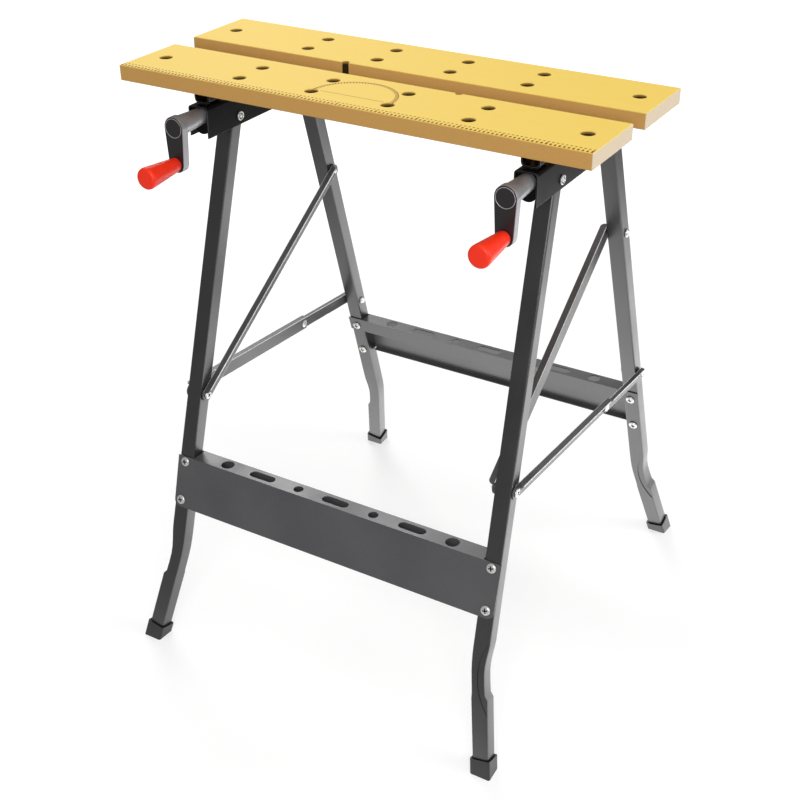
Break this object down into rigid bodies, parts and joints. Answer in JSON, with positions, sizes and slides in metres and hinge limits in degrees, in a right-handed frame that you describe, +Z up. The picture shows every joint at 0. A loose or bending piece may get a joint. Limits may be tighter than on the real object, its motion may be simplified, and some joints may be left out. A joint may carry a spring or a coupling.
{
  "type": "folding workbench",
  "caption": "Folding workbench with wooden vice jaw boards on splayed steel folding legs, crank-driven screws that move the rear jaw, and pierced tool rails between the legs.",
  "frame": {"origin": "on the floor under the middle of the bounding box", "axes": "+X along the boards to the user's right, -Y towards the user and the cranks, +Z up"},
  "size_m": [0.605, 0.6164, 0.7725],
  "materials": {
    "board": "yellow pressed board with tan edges, satin",
    "powder_coat": "dark grey powder coat",
    "black_steel": "black gloss coat",
    "crank_metal": "dark grey metallic paint on a casting",
    "zinc": "bright zinc plate",
    "grip": "glossy red moulding",
    "rubber_foot": "black moulded cap"
  },
  "bodies": {
    "top": {"front_jaw_board": "board", "left_bracket": "black_steel", "left_bearing_plate": "black_steel", "left_front_spacer": "black_steel", "left_mid_spacer": "black_steel", "left_front_pivot_bolt": "zinc", "left_rear_pivot_bolt": "zinc", "right_bracket": "black_steel", "right_bearing_plate": "black_steel", "right_front_spacer": "black_steel", "right_mid_spacer": "black_steel", "right_front_pivot_bolt": "zinc", "right_rear_pivot_bolt": "zinc"},
    "front_legs": {"left_stay_bolt": "zinc", "right_stay_bolt": "zinc", "front_tool_rail": "powder_coat", "front_left_leg": "powder_coat", "front_left_foot": "rubber_foot", "front_left_rail_screw_upper": "zinc", "front_left_rail_screw_lower": "zinc", "front_right_leg": "powder_coat", "front_right_foot": "rubber_foot", "front_right_rail_screw_upper": "zinc", "front_right_rail_screw_lower": "zinc"},
    "rear_legs": {"left_upper_stay_anchor": "zinc", "left_lower_stay_anchor": "zinc", "right_upper_stay_anchor": "zinc", "right_lower_stay_anchor": "zinc", "rear_tool_rail": "powder_coat", "rear_left_leg": "powder_coat", "rear_left_foot": "rubber_foot", "rear_left_rail_screw_upper": "zinc", "rear_left_rail_screw_lower": "zinc", "rear_right_leg": "powder_coat", "rear_right_foot": "rubber_foot", "rear_right_rail_screw_upper": "zinc", "rear_right_rail_screw_lower": "zinc"},
    "upper_stays": {"left_upper_stay": "powder_coat", "right_upper_stay": "powder_coat"},
    "lower_front_links": {"left_lower_stay_front": "powder_coat", "left_knuckle_rivet": "zinc", "right_lower_stay_front": "powder_coat", "right_knuckle_rivet": "zinc"},
    "lower_rear_links": {"left_lower_stay_rear": "powder_coat", "right_lower_stay_rear": "powder_coat"},
    "left_crank": {"left_lead_screw": "zinc", "left_crank": "crank_metal", "left_grip_pin": "zinc"},
    "right_crank": {"right_lead_screw": "zinc", "right_crank": "crank_metal", "right_grip_pin": "zinc"},
    "rear_jaw": {"rear_jaw_board": "board", "left_slide_saddle": "black_steel", "left_screw_nut": "zinc", "right_slide_saddle": "black_steel", "right_screw_nut": "zinc"},
    "left_grip": {"left_grip": "grip"},
    "right_grip": {"right_grip": "grip"}
  },
  "joints": [
    {"name": "front_leg_fold", "type": "hinge", "parent": "top", "child": "front_legs", "pos_m": [0, -0.10115, 0.7], "axis": [1, 0, 0], "range_deg": [-44.5, 0]},
    {"name": "rear_leg_fold", "type": "hinge", "parent": "top", "child": "rear_legs", "pos_m": [0, 0.06085, 0.7], "axis": [1, 0, 0], "range_deg": [-70.63, 0]},
    {"name": "upper_stay_swing", "type": "hinge", "parent": "front_legs", "child": "upper_stays", "pos_m": [0, -0.19816, 0.3502], "axis": [1, 0, 0], "range_deg": [0, 24.27]},
    {"name": "lower_stay_swing", "type": "hinge", "parent": "front_legs", "child": "lower_front_links", "pos_m": [0, -0.19816, 0.3502], "axis": [1, 0, 0], "range_deg": [0, 50.65]},
    {"name": "lower_stay_knuckle", "type": "hinge", "parent": "lower_front_links", "child": "lower_rear_links", "pos_m": [0, 0.06384, 0.33141], "axis": [1, 0, 0], "range_deg": [-146.3, 0]},
    {"name": "left_crank_turn", "type": "hinge", "parent": "top", "child": "left_crank", "pos_m": [-0.216, -0.17415, 0.714], "axis": [0, 1, 0], "range_deg": [-4536, 2628]},
    {"name": "right_crank_turn", "type": "hinge", "parent": "top", "child": "right_crank", "pos_m": [0.216, -0.17415, 0.714], "axis": [0, 1, 0], "range_deg": [-4536, 2628]},
    {"name": "rear_jaw_slide", "type": "slide", "parent": "top", "child": "rear_jaw", "axis": [0, 1, 0], "range_m": [-0.0365, 0.063]},
    {"name": "left_grip_spin", "type": "hinge", "parent": "left_crank", "child": "left_grip", "pos_m": [-0.216, -0.23415, 0.67], "axis": [0, 1, 0], "continuous": true},
    {"name": "right_grip_spin", "type": "hinge", "parent": "right_crank", "child": "right_grip", "pos_m": [0.216, -0.23415, 0.67], "axis": [0, 1, 0], "continuous": true}
  ],
  "couplings": [
    {"joint": "rear_leg_fold", "follows": "front_leg_fold", "ratio": 1.5872},
    {"joint": "upper_stay_swing", "follows": "front_leg_fold", "ratio": -0.54517},
    {"joint": "lower_stay_swing", "follows": "front_leg_fold", "ratio": -1.1382},
    {"joint": "lower_stay_knuckle", "follows": "front_leg_fold", "ratio": 3.2874},
    {"joint": "right_crank_turn", "follows": "left_crank_turn", "ratio": 1},
    {"joint": "rear_jaw_slide", "follows": "left_crank_turn", "m_per_rad": -0.00079577}
  ]
}
